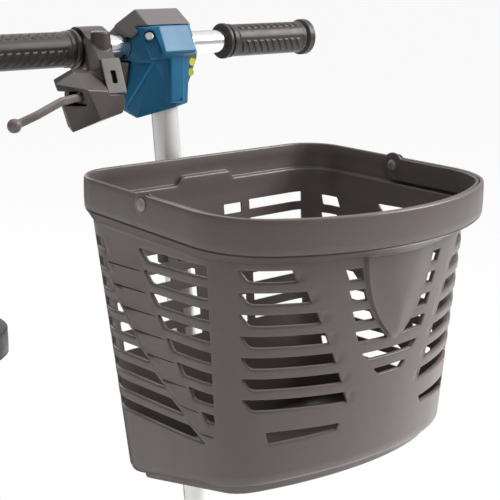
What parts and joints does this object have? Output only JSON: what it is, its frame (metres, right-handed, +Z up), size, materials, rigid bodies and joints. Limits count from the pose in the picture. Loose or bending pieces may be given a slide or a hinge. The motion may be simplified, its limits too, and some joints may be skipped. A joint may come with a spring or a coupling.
{
  "type": "mobility scooter",
  "caption": "Three-wheeled mobility scooter: tiller with handlebar and hand brake, slotted front basket with bail, floor pan, swivel seat with folding back and armrests.",
  "frame": {"origin": "on the ground under the centre of the overall box", "axes": "+Z up, -Y the way the scooter faces, +X the rider's left; the longest side of the overall box lies along Y and the shortest along X"},
  "size_m": [0.542, 1.4552, 0.9945],
  "materials": {
    "main_frame": "satin black powder coat",
    "floor_pan": "moulded",
    "floor_mat": "ribbed",
    "rear_cover": "moulded, satin blue",
    "rear_reflector": "clear red",
    "transaxle": "cast alloy",
    "rear_axle": "turned",
    "seat_post": "bright",
    "front_fork": "satin black",
    "steering_yoke": "satin black",
    "fold_pin": "turned",
    "front_axle": "turned",
    "front_mudguard": "moulded",
    "front_tyre": "solid rubber",
    "front_rim": "cast",
    "tiller_lower_tube": "satin black",
    "height_clamp": "satin black",
    "height_clamp_lever": "cast",
    "tiller_upper_tube": "bright anodised",
    "handlebar_tube": "bright anodised",
    "grip_left": "moulded ribs",
    "grip_right": "moulded ribs",
    "head_housing": "satin blue",
    "head_cover": "grey grained",
    "head_screw": "zinc plated",
    "battery_gauge": "tinted lens",
    "lever_housing": "moulded",
    "lever_cap": "moulded",
    "brake_lever_pin": "turned",
    "basket_bracket": "moulded",
    "brake_lever": "coated alloy",
    "throttle_lever": "moulded",
    "speed_dial": "moulded",
    "key": "moulded bow",
    "horn_button": "moulded",
    "basket_latch": "moulded",
    "basket_body": "moulded, fine grain",
    "bail_pin_left": "moulded",
    "bail_pin_right": "moulded",
    "basket_bail": "moulded",
    "rear_tyre_left": "solid rubber",
    "rear_tyre_right": "solid rubber",
    "rear_rim_left": "cast",
    "rear_rim_right": "cast",
    "freewheel_lever": "yellow",
    "battery_box": "grained",
    "battery_handle": "moulded",
    "seat_frame": "satin black",
    "seat_cushion": "black vinyl",
    "seat_lock_lever": "moulded",
    "backrest_frame": "satin black",
    "backrest_cushion": "black vinyl",
    "armrest_arm_left": "satin black",
    "armrest_arm_right": "satin black",
    "armrest_pad_left": "skinned foam",
    "armrest_pad_right": "skinned foam",
    "anti_tip_wheel_left": "moulded",
    "anti_tip_wheel_right": "moulded"
  },
  "bodies": {
    "chassis": {"main_frame": "main_frame", "floor_pan": "floor_pan", "floor_mat": "floor_mat", "rear_cover": "rear_cover", "rear_reflector": "rear_reflector", "transaxle": "transaxle", "rear_axle": "rear_axle", "seat_post": "seat_post"},
    "steering": {"front_fork": "front_fork", "steering_yoke": "steering_yoke", "fold_pin": "fold_pin", "front_axle": "front_axle", "front_mudguard": "front_mudguard"},
    "front_wheel": {"front_tyre": "front_tyre", "front_rim": "front_rim"},
    "tiller": {"tiller_lower_tube": "tiller_lower_tube", "height_clamp": "height_clamp"},
    "clamp_lever": {"height_clamp_lever": "height_clamp_lever"},
    "handlebar": {"tiller_upper_tube": "tiller_upper_tube", "handlebar_tube": "handlebar_tube", "grip_left": "grip_left", "grip_right": "grip_right", "head_housing": "head_housing", "head_cover": "head_cover", "head_screw": "head_screw", "battery_gauge": "battery_gauge", "lever_housing": "lever_housing", "lever_cap": "lever_cap", "brake_lever_pin": "brake_lever_pin", "basket_bracket": "basket_bracket"},
    "brake": {"brake_lever": "brake_lever"},
    "throttle": {"throttle_lever": "throttle_lever"},
    "dial": {"speed_dial": "speed_dial"},
    "key_switch": {"key": "key"},
    "horn": {"horn_button": "horn_button"},
    "latch": {"basket_latch": "basket_latch"},
    "basket": {"basket_body": "basket_body", "bail_pin_left": "bail_pin_left", "bail_pin_right": "bail_pin_right"},
    "bail": {"basket_bail": "basket_bail"},
    "rear_wheel_left": {"rear_tyre_left": "rear_tyre_left", "rear_rim_left": "rear_rim_left"},
    "rear_wheel_right": {"rear_tyre_right": "rear_tyre_right", "rear_rim_right": "rear_rim_right"},
    "freewheel": {"freewheel_lever": "freewheel_lever"},
    "battery": {"battery_box": "battery_box"},
    "battery_handle": {"battery_handle": "battery_handle"},
    "seat": {"seat_frame": "seat_frame", "seat_cushion": "seat_cushion"},
    "seat_lock": {"seat_lock_lever": "seat_lock_lever"},
    "backrest": {"backrest_frame": "backrest_frame", "backrest_cushion": "backrest_cushion"},
    "armrest_left": {"armrest_arm_left": "armrest_arm_left", "armrest_pad_left": "armrest_pad_left"},
    "armrest_right": {"armrest_arm_right": "armrest_arm_right", "armrest_pad_right": "armrest_pad_right"},
    "anti_tip_left": {"anti_tip_wheel_left": "anti_tip_wheel_left"},
    "anti_tip_right": {"anti_tip_wheel_right": "anti_tip_wheel_right"}
  },
  "joints": [
    {"name": "steering_turn", "type": "hinge", "parent": "chassis", "child": "steering", "pos_m": [0, -0.4804, 0.33], "axis": [0, 0.2079, 0.9781], "range_deg": [-40, 40]},
    {"name": "front_wheel_spin", "type": "hinge", "parent": "steering", "child": "front_wheel", "pos_m": [0, -0.5239, 0.09914], "axis": [1, 0, 0], "continuous": true},
    {"name": "tiller_fold", "type": "hinge", "parent": "steering", "child": "tiller", "pos_m": [0, -0.4804, 0.33], "axis": [-1, 0, 0], "range_deg": [0, 80]},
    {"name": "tiller_height", "type": "slide", "parent": "tiller", "child": "handlebar", "axis": [0, 0.1352, 0.9908], "range_m": [-0.04, 0.04]},
    {"name": "height_clamp_swing", "type": "hinge", "parent": "tiller", "child": "clamp_lever", "pos_m": [0, -0.49227, 0.47219], "axis": [-1, 0, 0], "range_deg": [0, 100]},
    {"name": "brake_pull", "type": "hinge", "parent": "handlebar", "child": "brake", "pos_m": [-0.106, -0.4339, 0.924], "axis": [0, 0, -1], "range_deg": [0, 18], "stiffness_Nm_per_rad": 0.5},
    {"name": "throttle_swing", "type": "hinge", "parent": "handlebar", "child": "throttle", "pos_m": [0, -0.3499, 0.93], "axis": [0, 0, 1], "range_deg": [-10, 10], "stiffness_Nm_per_rad": 0.4},
    {"name": "dial_turn", "type": "hinge", "parent": "handlebar", "child": "dial", "pos_m": [0, -0.3449, 0.959], "axis": [0, 1, 0], "range_deg": [-135, 135]},
    {"name": "key_turn", "type": "hinge", "parent": "handlebar", "child": "key_switch", "pos_m": [0.025, -0.3449, 0.958], "axis": [0, 1, 0], "range_deg": [0, 60]},
    {"name": "horn_press", "type": "slide", "parent": "handlebar", "child": "horn", "axis": [0, -1, 0], "range_m": [0, 0.0015], "stiffness_N_per_m": 300},
    {"name": "latch_press", "type": "slide", "parent": "handlebar", "child": "latch", "axis": [0, -0.9895, 0.1446], "range_m": [0, 0.002], "stiffness_N_per_m": 300},
    {"name": "basket_lift", "type": "slide", "parent": "handlebar", "child": "basket", "axis": [0, -0.5, 0.866], "range_m": [0, 0.1]},
    {"name": "bail_swing", "type": "hinge", "parent": "basket", "child": "bail", "pos_m": [0, -0.5709, 0.8585], "axis": [-1, 0, 0], "range_deg": [0, 100]},
    {"name": "rear_wheel_left_spin", "type": "hinge", "parent": "chassis", "child": "rear_wheel_left", "pos_m": [0.21, 0.5491, 0.11402], "axis": [1, 0, 0], "continuous": true},
    {"name": "rear_wheel_right_spin", "type": "hinge", "parent": "chassis", "child": "rear_wheel_right", "pos_m": [-0.21, 0.5491, 0.11402], "axis": [1, 0, 0], "continuous": true},
    {"name": "freewheel_throw", "type": "hinge", "parent": "chassis", "child": "freewheel", "pos_m": [0.12, 0.5791, 0.19], "axis": [1, 0, 0], "range_deg": [0, 12]},
    {"name": "battery_slide", "type": "slide", "parent": "chassis", "child": "battery", "axis": [0, -1, 0], "range_m": [0, 0.3]},
    {"name": "battery_handle_lift", "type": "hinge", "parent": "battery", "child": "battery_handle", "pos_m": [0, 0.3101, 0.34], "axis": [-1, 0, 0], "range_deg": [0, 90]},
    {"name": "seat_swivel", "type": "hinge", "parent": "chassis", "child": "seat", "pos_m": [0, 0.4241, 0.39], "axis": [0, 0, 1], "range_deg": [-90, 90]},
    {"name": "seat_lock_throw", "type": "hinge", "parent": "seat", "child": "seat_lock", "pos_m": [0.1, 0.4441, 0.393], "axis": [0, 0, -1], "range_deg": [0, 18]},
    {"name": "backrest_fold", "type": "hinge", "parent": "seat", "child": "backrest", "pos_m": [0, 0.6591, 0.541], "axis": [1, 0, 0], "range_deg": [0, 95]},
    {"name": "armrest_left_lift", "type": "hinge", "parent": "seat", "child": "armrest_left", "pos_m": [0.247, 0.6591, 0.655], "axis": [-1, 0, 0], "range_deg": [0, 100]},
    {"name": "armrest_right_lift", "type": "hinge", "parent": "seat", "child": "armrest_right", "pos_m": [-0.247, 0.6591, 0.655], "axis": [-1, 0, 0], "range_deg": [0, 100]},
    {"name": "anti_tip_left_spin", "type": "hinge", "parent": "chassis", "child": "anti_tip_left", "pos_m": [0.06, 0.7041, 0.036], "axis": [1, 0, 0], "continuous": true},
    {"name": "anti_tip_right_spin", "type": "hinge", "parent": "chassis", "child": "anti_tip_right", "pos_m": [-0.06, 0.7041, 0.036], "axis": [1, 0, 0], "continuous": true}
  ]
}
